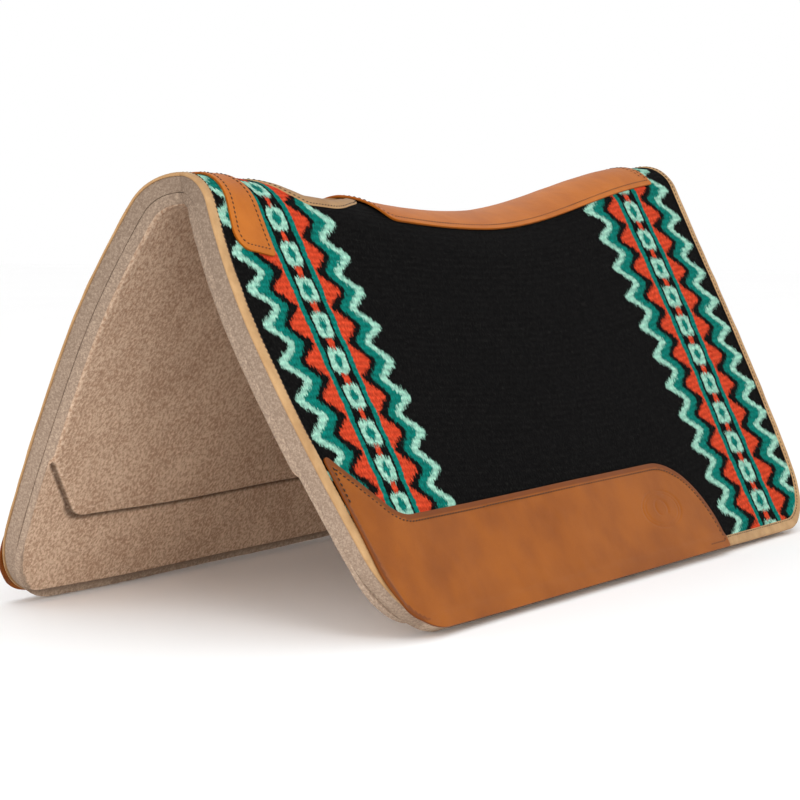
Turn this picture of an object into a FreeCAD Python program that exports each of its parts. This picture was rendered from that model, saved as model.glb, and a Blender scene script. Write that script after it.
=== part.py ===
"""Western contoured saddle pad, 32 in by 32 in, standing as a tent on its two lower edges.

Frame: +Z up, withers (front) towards -Y, the horse's left flap towards +X, origin at the middle of the base
of the bounding box. Sizes are in millimetres and degrees.

The outer faces of the two flaps are planes. They meet in a level line above the crown, called the apex here.
A place on a flap is given by its distance down the slope from the apex and its distance along the pad. A layer
is given by its depth below the outer face of the woven blanket, so leather on top of it has a negative depth.
Each real sheet of cloth or felt runs over the crown from edge to edge. It is split here at the two folds, so
that the flaps can turn, and every layer stops short of the fold by the relief that its bend needs.
"""
import FreeCAD, Part
import math
import os
import re

import Sketcher

SHEET = "Sizes"
SIZES = {
    # The whole pad
    "pad_length": 813.0,
    "half_angle": 26.95,
    "apex_to_edge": 439.5,
    "apex_to_fold": 150.0,
    "frame_shift": 6.05,
    # The rounded crown, whose radius changes along the ridge
    "crown_radius_front": 41.2,
    "crown_radius_middle": 72.2,
    "crown_radius_rear": 38.8,
    "lowest_ridge_at": 38.4,
    "station_overrun": 20.0,
    # Layers, from outside to inside
    "thread_thick": 0.6,
    "leather_thick": 2.2,
    "binding_thick": 1.0,
    "blanket_thick": 4.5,
    "core_thick": 10.0,
    "insert_thick": 4.5,
    "liner_thick": 5.5,
    # The folds
    "hinge_depth": 12.5,
    "spread_angle": 50.0,
    "fold_in_angle": 30.0,
    "fold_clearance": 0.4,
    # Outline of a flap
    "fold_step_back": 2.0,
    "edge_bend_at": 270.0,
    "edge_bend_radius": 850.0,
    "edge_setback": 33.5,
    "front_corner_radius": 65.0,
    "rear_corner_radius": 55.0,
    # Outline of the crown, seen from above
    "crown_half_width": 90.0,
    "shoulder_half_width": 52.0,
    "front_dip": 31.0,
    "shoulder_dip": 8.0,
    "shoulder_radius": 60.0,
    "rear_bulge": 10.4,
    "ridge_point_radius": 12.0,
    # Felt liner and the insert under it
    "liner_bottom_inset": 10.0,
    "liner_side_inset": 2.0,
    "raised_side_inset": 11.0,
    "raised_bottom": 355.5,
    "raised_chamfer": 62.0,
    "raised_corner_radius": 30.0,
    "insert_inset": 8.0,
    # Leather binding and stitching
    "binding_width": 14.0,
    "binding_stitch_inset": 12.0,
    "leather_stitch_inset": 5.5,
    "thread_width": 1.2,
    "thread_end_gap": 3.0,
    # Wear leather low on each flap
    "wear_top": 349.5,
    "wear_bottom": 436.0,
    "wear_front": -372.0,
    "wear_tip_along": -388.0,
    "wear_tip_down": 288.0,
    "wear_tip_taper_down": 2.55,
    "wear_tip_taper_along": 1.28,
    "wear_elbow_along": -321.5,
    "wear_rear": 177.5,
    "wear_elbow_radius": 45.0,
    "wear_rear_radius": 79.0,
    "wear_front_radius": 60.0,
    # Wither leather over the front of the ridge
    "wither_ridge_front": -359.0,
    "wither_side_front": -380.0,
    "wither_ridge_rear": -325.0,
    "wither_side_rear": -334.0,
    "wither_half_width": 57.0,
    "wither_corner_radius": 14.0,
    # Spine leather along the ridge
    "spine_tip": -163.0,
    "spine_front": -145.0,
    "spine_waist_along": 90.0,
    "spine_rear": 360.0,
    "spine_half_width": 43.0,
    "spine_rear_half_width": 32.0,
    # Open slot over the withers
    "slot_front": -302.0,
    "slot_rear": -176.0,
    "slot_half_width": 27.0,
    "slot_binding_width": 11.0,
}

# Depths of the layers' faces
THREAD_TOP = "(-leather_thick - thread_thick)"
LEATHER_TOP = "(-leather_thick)"
BINDING_THREAD_TOP = "(-binding_thick - thread_thick)"
BINDING_TOP = "(-binding_thick)"
BLANKET_TOP = "(0)"
CORE_TOP = "(blanket_thick)"
LINER_TOP = "(blanket_thick + core_thick)"
INSERT_BOTTOM = "(blanket_thick + core_thick + insert_thick)"
FLAT_LINER_BOTTOM = "(blanket_thick + core_thick + liner_thick)"
RAISED_LINER_BOTTOM = "(blanket_thick + core_thick + insert_thick + liner_thick)"

# The core's inner lower edge is the lowest point and lies at height 0.
APEX_HEIGHT = f"(apex_to_edge * cos(half_angle) + {LINER_TOP} * sin(half_angle))"
HALF_LENGTH = "(pad_length / 2)"

STATION_STEPS = (0.25, 0.5, 0.75, 1.0)
BLOCK_HEIGHT = 500
SLOT_END_FLAT = 0.5

doc = FreeCAD.newDocument("saddle_pad")
sheet = doc.addObject("Spreadsheet::Sheet", SHEET)
for row, (alias, value) in enumerate(SIZES.items(), start=1):
    sheet.set(f"A{row}", alias)
    sheet.set(f"B{row}", str(value))
    sheet.setAlias(f"B{row}", alias)
doc.recompute()


# Expressions and sketches

def bound(text):
    """Give every size named in an expression its cell in the sheet, and every angle its unit."""
    def cell(match):
        word = match.group(0)
        if word not in SIZES:
            return word
        unit = " * 1 deg" if word.endswith("_angle") else ""
        return f"({SHEET}.{word}{unit})"
    return re.sub(r"[a-z_]+", cell, str(text))


def number(text):
    """The value of an expression as the sheet stands."""
    value = sheet.evalExpression(bound(text))
    return float(getattr(value, "Value", value))


def origin_plane(body, role):
    return next(plane for plane in body.Origin.OriginFeatures if plane.Role == role)


def round_corner(point, before, after, radius):
    """Where an arc of this radius leaves the two sides of a corner, its centre, and whether it turns left."""
    back = (before - point).normalize()
    ahead = (after - point).normalize()
    half_turn = back.getAngle(ahead) / 2
    reach = radius / math.tan(half_turn)
    centre = point + (back + ahead).normalize() * (radius / math.sin(half_turn))
    return point + back * reach, point + ahead * reach, centre, back.cross(ahead).z < 0


def add_sketch(body, name, role, offset, corners):
    """A closed outline with every size bound to the sheet.

    Each corner is (x, y, radius), all expressions. A radius of None leaves the corner sharp.
    """
    sketch = body.newObject("Sketcher::SketchObject", name)
    sketch.AttachmentSupport = [(origin_plane(body, role), "")]
    sketch.MapMode = "FlatFace"
    sketch.setExpression("AttachmentOffset.Base.z", bound(offset))

    points = [FreeCAD.Vector(number(x), number(y), 0) for x, y, _ in corners]
    starts = list(points)
    ends = list(points)
    arcs = {}
    for i, (_, _, radius) in enumerate(corners):
        if radius is None:
            continue
        after = points[(i + 1) % len(points)]
        ends[i], starts[i], centre, left = round_corner(points[i], points[i - 1], after, number(radius))
        first, last = (ends[i], starts[i]) if left else (starts[i], ends[i])
        angles = [math.atan2(place.y - centre.y, place.x - centre.x) for place in (first, last)]
        circle = Part.Circle(centre, FreeCAD.Vector(0, 0, 1), number(radius))
        arcs[i] = (Part.ArcOfCircle(circle, *angles), left)

    lines = []
    for i, start in enumerate(starts):
        end = ends[(i + 1) % len(ends)]
        lines.append(sketch.addGeometry(Part.LineSegment(start, end)))

    def constrain(kind, *where):
        return sketch.addConstraint(Sketcher.Constraint(kind, *where))

    for i, (x, y, radius) in enumerate(corners):
        before = lines[i - 1]
        after = lines[i]
        if radius is None:
            constrain("Coincident", before, 2, after, 1)
            corner = after
        else:
            shape, left = arcs[i]
            arc = sketch.addGeometry(shape)
            first, last = (1, 2) if left else (2, 1)
            constrain("Tangent", before, 2, arc, first)
            constrain("Tangent", arc, last, after, 1)
            size = constrain("Radius", arc, number(radius))
            sketch.setExpression(f"Constraints[{size}]", bound(radius))
            corner = sketch.addGeometry(Part.Point(points[i]), True)
            constrain("PointOnObject", corner, 1, before)
            constrain("PointOnObject", corner, 1, after)
        for kind, text in (("DistanceX", x), ("DistanceY", y)):
            place = constrain(kind, corner, 1, number(text))
            sketch.setExpression(f"Constraints[{place}]", bound(text))
    return sketch


def mirrored(corners):
    """Close half an outline, given from front to rear at +X, with its mirror image at -X."""
    back = [(f"-({x})", y, radius) for x, y, radius in reversed(corners) if x != "0"]
    return corners + back


# Bodies and booleans

def new_body(label):
    body = doc.addObject("PartDesign::Body", label)
    body.Label = label
    body.setExpression(".Placement.Base.y", bound("-frame_shift"))
    return body


def new_flap_body(label):
    """A body whose X runs down the left flap's slope and whose Z points out of the flap."""
    body = new_body(label)
    body.Placement.Rotation = FreeCAD.Rotation(FreeCAD.Vector(0, 1, 0), 90 - SIZES["half_angle"])
    body.setExpression(".Placement.Rotation.Angle", bound("90 deg - half_angle"))
    body.setExpression(".Placement.Base.z", bound(APEX_HEIGHT))
    return body


def boolean(kind, label, base, tool):
    piece = doc.addObject(f"Part::{kind}", label)
    piece.Label = label
    piece.Base = base
    piece.Tool = tool
    return piece


def add_pad(body, name, corners, top, bottom):
    """Add a flat layer between two depths."""
    sketch = add_sketch(body, f"{name}_outline", "XY_Plane", f"-{bottom}", corners)
    pad = body.newObject("PartDesign::Pad", name)
    pad.Profile = sketch
    pad.setExpression("Length", bound(f"{bottom} - {top}"))
    return pad


def add_pocket(body, name, corners, top, bottom):
    """Cut a flat layer between two depths out of the body."""
    sketch = add_sketch(body, f"{name}_outline", "XY_Plane", f"-{top}", corners)
    pocket = body.newObject("PartDesign::Pocket", name)
    pocket.Profile = sketch
    pocket.setExpression("Length", bound(f"{bottom} - {top}"))
    return pocket


def relief(top, bottom):
    """How far a layer between two depths stops short of the fold."""
    if number(f"hinge_depth - {top}") > number(f"{bottom} - hinge_depth"):
        return f"(fold_clearance + (hinge_depth - {top}) * tan(spread_angle / 2))"
    return f"(fold_clearance + ({bottom} - hinge_depth) * tan(fold_in_angle / 2))"


# Crown

def crown_section(radius, top, bottom):
    """Cross-section of a layer over the crown: two legs down to the folds, joined by a round top."""
    leg = f"(apex_to_fold - {relief(top, bottom)})"

    def leg_end(depth, side):
        x = f"{side} * ({leg} * sin(half_angle) - {depth} * cos(half_angle))"
        z = f"{APEX_HEIGHT} - {leg} * cos(half_angle) - {depth} * sin(half_angle)"
        return (x, z, None)

    def peak(depth):
        return ("0", f"{APEX_HEIGHT} - {depth} / sin(half_angle)", f"{radius} - {depth}")

    return [leg_end(top, 1), peak(top), leg_end(top, -1), leg_end(bottom, -1), peak(bottom), leg_end(bottom, 1)]


def crown_stations():
    """Places along the ridge and the crown's outer radius there, eased by a cosine from middle to end."""
    front = []
    rear = []
    for step in STATION_STEPS:
        overrun = "station_overrun" if step == STATION_STEPS[-1] else "0"
        for end, side, rows in (("front", -1, front), ("rear", 1, rear)):
            span = f"({HALF_LENGTH} - {side} * lowest_ridge_at)"
            along = f"lowest_ridge_at + {side} * ({step} * {span} + {overrun})"
            growth = f"(crown_radius_{end} - crown_radius_middle)"
            rows.append((along, f"(crown_radius_middle + {growth} * (0.5 - 0.5 * cos(180 deg * {step})))"))
    return front[::-1] + [("lowest_ridge_at", "crown_radius_middle")] + rear


def crown_layer(label, top, bottom):
    """A layer between two depths, lofted through the stations along the ridge."""
    body = new_body(label)
    sketches = []
    for i, (along, radius) in enumerate(crown_stations()):
        corners = crown_section(radius, top, bottom)
        sketches.append(add_sketch(body, f"{label}_section_{i}", "XZ_Plane", f"-({along})", corners))
    loft = body.newObject("PartDesign::AdditiveLoft", f"{label}_loft")
    loft.Profile = sketches[0]
    loft.Sections = sketches[1:]
    loft.Ruled = False
    return body


def crown_block(label, corners):
    """An upright block with an outline seen from above, which trims the crown's layers."""
    body = new_body(label)
    add_pad(body, f"{label}_pad", corners, f"(-{BLOCK_HEIGHT})", "(0)")
    return body


def front_edge(inset):
    return [
        ("0", f"-{HALF_LENGTH} + front_dip + {inset}", "ridge_point_radius"),
        ("shoulder_half_width", f"-{HALF_LENGTH} + shoulder_dip + {inset}", "shoulder_radius"),
        ("crown_half_width", f"-{HALF_LENGTH} + {inset}", None),
    ]


def rear_edge(inset):
    return [
        ("crown_half_width", f"{HALF_LENGTH} - {inset}", None),
        ("0", f"{HALF_LENGTH} + rear_bulge - {inset}", "ridge_point_radius"),
    ]


def crown_outline(inset):
    return mirrored(front_edge(inset) + rear_edge(inset))


def strip(edge, outer_inset, inner_inset):
    """A strip along the crown's front or rear edge, from one inset to another."""
    outer = edge(outer_inset)
    inner = edge(inner_inset)
    half = outer + inner[::-1] if edge is front_edge else inner[::-1] + outer
    return mirrored([(x, y, None) for x, y, _ in half])


def slot_outline(grow):
    """A slot with round ends, larger all round by grow."""
    width = f"(slot_half_width + {grow})"
    radius = f"{width} - {SLOT_END_FLAT}"
    return mirrored([(width, f"slot_front - {grow}", radius), (width, f"slot_rear + {grow}", radius)])


def wither_outline(inset):
    width = f"(wither_half_width - {inset})"
    return mirrored([
        ("0", f"wither_ridge_front + {inset}", None),
        (width, f"wither_side_front + {inset}", f"wither_corner_radius - {inset}"),
        (width, f"wither_side_rear - {inset}", None),
        ("0", f"wither_ridge_rear - {inset}", None),
    ])


def spine_outline(inset):
    width = f"(spine_half_width - {inset})"
    return mirrored([
        ("0", f"spine_tip + {inset}", None),
        (width, f"spine_front + {inset}", None),
        (width, "spine_waist_along", None),
        (f"spine_rear_half_width - {inset}", f"spine_rear - {inset}", None),
    ])


def trimmed(label, layer, outline, slotted=True):
    """Trim a crown layer to an outline seen from above, and open the slot over the withers in it."""
    block = crown_block(f"{label}_block", outline)
    if not slotted:
        return boolean("Common", label, layer, block)
    whole = boolean("Common", f"{label}_whole", layer, block)
    return boolean("Cut", label, whole, slot_block)


def ring(label, layer, outer, inner):
    """The part of a crown layer that lies between two outlines."""
    outside = boolean("Common", f"{label}_outside", layer, crown_block(f"{label}_outer", outer))
    return boolean("Cut", label, outside, crown_block(f"{label}_inner", inner))


def make_crown_felt():
    core = trimmed("crown_felt_core", crown_layer("core_layer", CORE_TOP, LINER_TOP), crown_outline("0"))

    insert_outline = crown_outline("(raised_side_inset + insert_inset)")
    insert = trimmed("crown_insert", crown_layer("insert_layer", LINER_TOP, INSERT_BOTTOM), insert_outline)

    flat_layer = crown_layer("flat_liner_layer", LINER_TOP, FLAT_LINER_BOTTOM)
    flat = trimmed("crown_liner_flat", flat_layer, crown_outline("liner_side_inset"))
    raised_layer = crown_layer("raised_liner_layer", LINER_TOP, RAISED_LINER_BOTTOM)
    raised = trimmed("crown_liner_raised", raised_layer, crown_outline("raised_side_inset"))
    liner = boolean("Fuse", "crown_liner_solid", flat, raised)
    return [core, insert, boolean("Cut", "crown_felt_liner", liner, insert)]


def make_crown_blanket():
    """The blanket stops short of every bound edge by the binding's thickness."""
    layer = crown_layer("blanket_layer", BLANKET_TOP, CORE_TOP)
    whole = trimmed("crown_blanket_whole", layer, crown_outline("binding_thick"), slotted=False)
    wide_slot = crown_block("wide_slot_block", slot_outline("binding_thick"))
    return boolean("Cut", "crown_blanket", whole, wide_slot)


def make_crown_bindings(blanket):
    """Leather strips folded over the blanket's front and rear edges and over the slot's edge."""
    layer = crown_layer("binding_layer", BINDING_TOP, CORE_TOP)
    pieces = []
    for label, edge in (("crown_front_binding", front_edge), ("crown_rear_binding", rear_edge)):
        outline = strip(edge, "0", "binding_width")
        whole = trimmed(f"{label}_whole", layer, outline, slotted=False)
        pieces.append(boolean("Cut", label, whole, blanket))
    whole = ring("slot_binding_whole", layer, slot_outline("slot_binding_width"), slot_outline("0"))
    pieces.append(boolean("Cut", "slot_binding", whole, blanket))
    return pieces


def make_crown_leathers():
    layer = crown_layer("leather_layer", LEATHER_TOP, BLANKET_TOP)
    wither = trimmed("wither_leather", layer, wither_outline("0"), slotted=False)
    spine = trimmed("spine_leather", layer, spine_outline("0"), slotted=False)
    return [wither, spine]


def make_crown_stitching():
    """Lines of thread that lie on the leathers and on the bindings."""
    inner = "(leather_stitch_inset + thread_width)"
    high = crown_layer("leather_thread_layer", THREAD_TOP, LEATHER_TOP)
    wither = ring("wither_stitching", high, wither_outline("leather_stitch_inset"), wither_outline(inner))
    spine = ring("spine_stitching", high, spine_outline("leather_stitch_inset"), spine_outline(inner))

    low = crown_layer("binding_thread_layer", BINDING_THREAD_TOP, BINDING_TOP)
    start = "binding_stitch_inset"
    end = "(binding_stitch_inset + thread_width)"
    front = trimmed("front_binding_thread", low, strip(front_edge, start, end), slotted=False)
    rear = trimmed("rear_binding_thread", low, strip(rear_edge, start, end), slotted=False)
    grow = "(slot_binding_width - (binding_width - binding_stitch_inset))"
    slot = ring("slot_stitching", low, slot_outline(grow), slot_outline(f"({grow} - thread_width)"))
    both = boolean("Fuse", "crown_binding_stitching", front, rear)
    return [wither, spine, slot, both]


# Flaps. Each piece is made for the left flap and mirrored for the right one.

def flap_outline(start, side, bottom):
    """Outline of a flap from a start line near the fold, inset at its sides and at its lower edge."""
    along = f"({HALF_LENGTH} - {side})"
    low = f"apex_to_edge - {bottom}"
    return [
        (start, f"-({along} - fold_step_back)", None),
        ("edge_bend_at", f"-{along}", "edge_bend_radius"),
        (low, f"-({along} - edge_setback)", f"front_corner_radius - {bottom}"),
        (low, f"{along} - edge_setback", f"rear_corner_radius - {bottom}"),
        ("edge_bend_at", along, "edge_bend_radius"),
        (start, f"{along} + 0.5 * fold_step_back", None),
    ]


def raised_outline(start, inset):
    """The area that the insert lifts, with its two lower corners cut off at a slant."""
    along = f"({HALF_LENGTH} - raised_side_inset - {inset})"
    low = f"(raised_bottom - {inset})"
    return [
        (start, f"-{along}", None),
        (f"{low} - raised_chamfer", f"-{along}", None),
        (low, f"-({along} - raised_chamfer)", "raised_corner_radius"),
        (low, f"{along} - raised_chamfer", "raised_corner_radius"),
        (f"{low} - raised_chamfer", along, None),
        (start, along, None),
    ]


def wear_outline(inset):
    """The tip is sharp, so an inset outline draws back from it by more than the inset."""
    top = f"wear_top + {inset}"
    bottom = f"wear_bottom - {inset}"
    rear = f"wear_rear - {inset}"
    return [
        (f"wear_tip_down + wear_tip_taper_down * {inset}",
         f"wear_tip_along + wear_tip_taper_along * {inset}", None),
        (top, f"wear_elbow_along - 0.4 * {inset}", f"wear_elbow_radius + {inset}"),
        (top, rear, f"wear_rear_radius - {inset}"),
        (bottom, rear, None),
        (bottom, f"wear_front + 0.9 * {inset}", f"wear_front_radius - {inset}"),
    ]


def fold_start(top, bottom):
    return f"(apex_to_fold + {relief(top, bottom)})"


def flap_layer(label, top, bottom, side, low):
    body = new_flap_body(label)
    add_pad(body, f"{label}_pad", flap_outline(fold_start(top, bottom), side, low), top, bottom)
    return body


def make_flap_felt():
    core = flap_layer("left_felt_core", CORE_TOP, LINER_TOP, "0", "0")

    insert = new_flap_body("left_insert")
    insert_start = fold_start(LINER_TOP, INSERT_BOTTOM)
    insert_corners = raised_outline(insert_start, "insert_inset")
    add_pad(insert, "left_insert_pad", insert_corners, LINER_TOP, INSERT_BOTTOM)

    start = fold_start(LINER_TOP, RAISED_LINER_BOTTOM)
    liner = new_flap_body("left_liner_solid")
    flat_corners = flap_outline(start, "liner_side_inset", "liner_bottom_inset")
    add_pad(liner, "left_liner_flat", flat_corners, LINER_TOP, FLAT_LINER_BOTTOM)
    add_pad(liner, "left_liner_raised", raised_outline(start, "0"), FLAT_LINER_BOTTOM, RAISED_LINER_BOTTOM)
    return [core, insert, boolean("Cut", "left_felt_liner", liner, insert)]


def make_flap_binding(blanket):
    """One leather strip that runs from the fold down the front, along the bottom and up the rear."""
    label = "left_edge_binding"
    body = flap_layer(f"{label}_whole", BINDING_TOP, CORE_TOP, "0", "0")
    hollow = flap_outline("apex_to_fold", "binding_width", "binding_width")
    add_pocket(body, f"{label}_hollow", hollow, BINDING_TOP, CORE_TOP)
    return boolean("Cut", label, body, blanket)


def make_flap_leather(binding):
    """The wear leather lies over the blanket, and over the binding where the two meet."""
    body = new_flap_body("left_wear_leather_whole")
    add_pad(body, "left_wear_leather_pad", wear_outline("0"), LEATHER_TOP, BLANKET_TOP)
    return boolean("Cut", "left_wear_leather", body, binding)


def make_flap_stitching():
    """Thread round the wear leather, and along the part of the binding that the leather leaves bare."""
    wear = new_flap_body("left_wear_stitching")
    add_pad(wear, "left_wear_thread", wear_outline("leather_stitch_inset"), THREAD_TOP, LEATHER_TOP)
    inner = wear_outline("(leather_stitch_inset + thread_width)")
    add_pocket(wear, "left_wear_thread_hollow", inner, THREAD_TOP, LEATHER_TOP)

    side = "binding_stitch_inset"
    binding = flap_layer("left_binding_stitching", BINDING_THREAD_TOP, BINDING_TOP, side, side)
    inner_side = "(binding_stitch_inset + thread_width)"
    hollow = flap_outline("apex_to_fold", inner_side, inner_side)
    add_pocket(binding, "left_binding_thread_hollow", hollow, BINDING_THREAD_TOP, BINDING_TOP)
    add_pocket(binding, "left_binding_thread_end", covered_by_leather(), BINDING_THREAD_TOP, BINDING_TOP)
    return [wear, binding]


def covered_by_leather():
    """The lower front of the flap, where the wear leather covers the binding's inner edge."""
    top = "wear_tip_down - thread_end_gap"
    rear = "wear_rear + thread_end_gap"
    front = f"-{HALF_LENGTH}"
    return [(top, front, None), (top, rear, None), ("apex_to_edge", rear, None), ("apex_to_edge", front, None)]


def mirror_to_right(piece):
    label = piece.Label.replace("left_", "right_")
    copy = doc.addObject("Part::Mirroring", label)
    copy.Label = label
    copy.Source = piece
    copy.Normal = FreeCAD.Vector(1, 0, 0)
    return copy


slot_block = crown_block("slot_block", slot_outline("0"))

crown_blanket = make_crown_blanket()
pieces = [crown_blanket]
pieces += make_crown_felt()
pieces += make_crown_bindings(crown_blanket)
pieces += make_crown_leathers()
pieces += make_crown_stitching()

left_blanket = flap_layer("left_blanket", BLANKET_TOP, CORE_TOP, "binding_thick", "binding_thick")
left_pieces = [left_blanket]
left_pieces += make_flap_felt()
left_binding = make_flap_binding(left_blanket)
left_leather = make_flap_leather(left_binding)
left_pieces += [left_binding, left_leather]
left_pieces += make_flap_stitching()
pieces += left_pieces
pieces += [mirror_to_right(piece) for piece in left_pieces]

doc.recompute()

for item in doc.Objects:
    if "Invalid" in item.State or "Error" in item.State:
        raise RuntimeError(f"{item.Label} is {item.State}")
for piece in pieces:
    if piece.Shape.isNull() or not piece.Shape.isValid() or piece.Shape.Volume <= 0:
        raise RuntimeError(f"{piece.Label} has no valid solid")

os.makedirs("parts", exist_ok=True)
for piece in pieces:
    piece.Shape.exportStep(f"parts/{piece.Label}.step")
    print(f"{piece.Label}: {len(piece.Shape.Solids)} solids, {piece.Shape.Volume / 1000:.1f} cm3")

box = FreeCAD.BoundBox()
for piece in pieces:
    box.add(piece.Shape.optimalBoundingBox())
print("box", box)
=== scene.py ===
"""A western saddle pad: woven wool top, felt core, shock-absorbing insert, felt lining, leather trim.

The pad lies over a ridge.  Every piece is drawn on one surface with the coordinates
s (down the slope from the ridge line), y (along the horse's back) and depth (inwards
from the face of the blanket), all in millimetres; place() turns them into metres.
"""

import math

import bpy
import numpy as np
from mathutils import Matrix, Vector
from mathutils.geometry import delaunay_2d_cdt
from mathutils.kdtree import KDTree


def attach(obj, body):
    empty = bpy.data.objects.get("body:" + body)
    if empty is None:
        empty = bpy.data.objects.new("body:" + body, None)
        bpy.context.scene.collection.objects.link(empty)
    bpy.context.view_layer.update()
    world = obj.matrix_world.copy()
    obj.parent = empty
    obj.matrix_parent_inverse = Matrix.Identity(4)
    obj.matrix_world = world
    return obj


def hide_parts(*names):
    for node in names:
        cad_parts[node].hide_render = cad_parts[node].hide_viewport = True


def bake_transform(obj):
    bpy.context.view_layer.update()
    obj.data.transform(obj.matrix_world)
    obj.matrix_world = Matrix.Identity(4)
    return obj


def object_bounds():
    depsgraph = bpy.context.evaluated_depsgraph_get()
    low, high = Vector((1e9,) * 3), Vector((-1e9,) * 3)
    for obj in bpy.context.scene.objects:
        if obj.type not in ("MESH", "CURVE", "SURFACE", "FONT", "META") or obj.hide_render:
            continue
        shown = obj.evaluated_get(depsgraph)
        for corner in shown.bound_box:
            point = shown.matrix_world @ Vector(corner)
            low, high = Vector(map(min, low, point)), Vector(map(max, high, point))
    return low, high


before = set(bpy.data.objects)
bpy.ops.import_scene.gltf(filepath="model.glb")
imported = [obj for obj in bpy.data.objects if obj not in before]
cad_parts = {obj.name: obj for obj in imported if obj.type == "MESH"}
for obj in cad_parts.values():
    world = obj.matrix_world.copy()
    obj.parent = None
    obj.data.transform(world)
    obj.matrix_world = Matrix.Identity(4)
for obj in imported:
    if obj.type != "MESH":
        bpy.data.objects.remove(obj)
CAD_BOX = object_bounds()

# ---------------------------------------------------------------- driving dimensions, millimetres

MM = 0.001
HALF_ANGLE = math.radians(26.95)        # each flap hangs this far from the upright plane
SIN, COS = math.sin(HALF_ANGLE), math.cos(HALF_ANGLE)
HALF_LENGTH = 406.5
EDGE_SLANT = 439.5                      # from the apex line down the slope to the lower edge
FRONT_RADIUS, MIDDLE_RADIUS, REAR_RADIUS = 41.2, 72.2, 38.8     # how the ridge is rounded
LOWEST_RIDGE_AT = 38.4
FRAME_SHIFT = -6.05                     # the pad's own middle sits here in the row frame

BLANKET, CORE, INSERT, LINER = 4.5, 10.0, 4.5, 5.5              # thicknesses
CORE_BOTTOM = BLANKET + CORE
LEATHER = 2.2
BINDING_WIDTH = 9.5
BINDING_RISE = 1.1
PINCH = 3.2                             # how much thinner the blanket is at its sewn edge
RIB = 5.4                               # one row of the weave

FOLD_START, FOLD_END = 126.0, 174.0     # distances down the slope for a bend, whose points bend() works out but doesn't use
ARC_ANGLE = math.pi / 2 - HALF_ANGLE
ARC_SAVING = 1 / math.tan(HALF_ANGLE) - ARC_ANGLE               # slant lost per mm of ridge radius
APEX = EDGE_SLANT * COS + CORE_BOTTOM * SIN                     # the core's inner edge is on the floor
DROP = 390.0                            # the flap's length in the straightened pattern

FRONT_CORNER, REAR_CORNER = 65.0, 55.0
SLOT_NOTCH = [(0, -176, 0), (14, -186, 30), (29, -224, 60), (29, -268, 14), (20, -284, 14), (0, -304, 0)]
FRONT_NOTCH, FRONT_SWEEP = 31.1, 34.1   # how far back the front edge is at the ridge and at the foot
REAR_TAIL, REAR_SWEEP = 10.4, 33.3      # how far the rear edge is out at the ridge, and in at the foot


# ---------------------------------------------------------------- the pad's surface

def clip01(x):
    return np.clip(x, 0.0, 1.0)


def ease(x):
    return 0.5 - 0.5 * np.cos(math.pi * clip01(x))


def smooth(x, low, high):
    t = clip01((x - low) / (high - low))
    return t * t * (3 - 2 * t)


def ridge_radius(y):
    """How tightly the ridge is rounded there, for the face of the blanket."""
    ahead = (LOWEST_RIDGE_AT - y) / (LOWEST_RIDGE_AT + HALF_LENGTH)
    behind = (y - LOWEST_RIDGE_AT) / (HALF_LENGTH - LOWEST_RIDGE_AT)
    front = MIDDLE_RADIUS + (FRONT_RADIUS - MIDDLE_RADIUS) * ease(ahead)
    rear = MIDDLE_RADIUS + (REAR_RADIUS - MIDDLE_RADIUS) * ease(behind)
    return np.where(y < LOWEST_RIDGE_AT, front, rear)


def near_ridge(t):
    """1 on the ridge line, falling to 0 at 0.4 of the way down."""
    return clip01(1 - t / 0.4) ** 2


def near_foot(t):
    """0 down to 0.3 of the way, rising to 1 at the lower edge."""
    return clip01((t - 0.3) / 0.7) ** 2


def front_edge(t):
    """y of the front edge, at that share of the way down."""
    return -HALF_LENGTH + FRONT_NOTCH * near_ridge(t) + FRONT_SWEEP * near_foot(t)


def rear_edge(t):
    return HALF_LENGTH + REAR_TAIL * near_ridge(t) - REAR_SWEEP * near_foot(t)


def shaped(pattern):
    """(s, y) of points on the straightened pattern, whose lower edge is at DROP."""
    t = pattern[:, 0] / DROP
    front, rear = front_edge(t), rear_edge(t)
    y = front + (pattern[:, 1] / HALF_LENGTH + 1) / 2 * (rear - front)
    return np.column_stack([t * (EDGE_SLANT - ARC_SAVING * ridge_radius(y)), y])


def from_slant(points):
    """(s, y) of points given as distance down the slope from the apex line, and y."""
    return np.column_stack([points[:, 0] - ARC_SAVING * ridge_radius(points[:, 1]), points[:, 1]])


def as_drawn(points):
    return points


def slant(s, y):
    """Distance down the slope from the apex line, where the two slopes would meet."""
    return np.abs(s) + ARC_SAVING * ridge_radius(y)


def place(s, y, depth):
    """Where a point of the pad is, in metres."""
    radius = ridge_radius(y)
    reach = np.abs(s)
    angle = np.minimum(reach / radius, ARC_ANGLE)
    straight = np.maximum(reach - radius * ARC_ANGLE, 0.0)
    depth = depth - sway(s, y)
    inner = radius - depth
    x = inner * np.sin(angle) + straight * SIN
    z = APEX - radius / SIN + inner * np.cos(angle) - straight * COS
    return np.column_stack([np.where(s < 0, -x, x), y + FRAME_SHIFT, z]) * MM


def sway(s, y):
    """The slight waviness of a hanging flap, outwards."""
    hang = smooth(slant(s, y), 140, 330)
    return hang * (1.1 * np.sin(y / 74 + 0.6) + 0.7 * np.sin(y / 41 + s / 90))


LATTICE = np.random.default_rng(11).uniform(-1, 1, (32, 32, 32))


def lumps(points, size):
    """Smooth random values from -1 to 1 with bumps about size apart."""
    p = np.abs(points) / size + 64
    cell = np.floor(p).astype(int)
    f = p - cell
    f = f * f * (3 - 2 * f)
    total = np.zeros(len(p))
    for corner in np.ndindex(2, 2, 2):
        weight = np.prod(np.where(corner, f, 1 - f), axis=1)
        total += weight * LATTICE[tuple(((cell + corner) % 32).T)]
    return total


# ---------------------------------------------------------------- outlines

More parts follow.
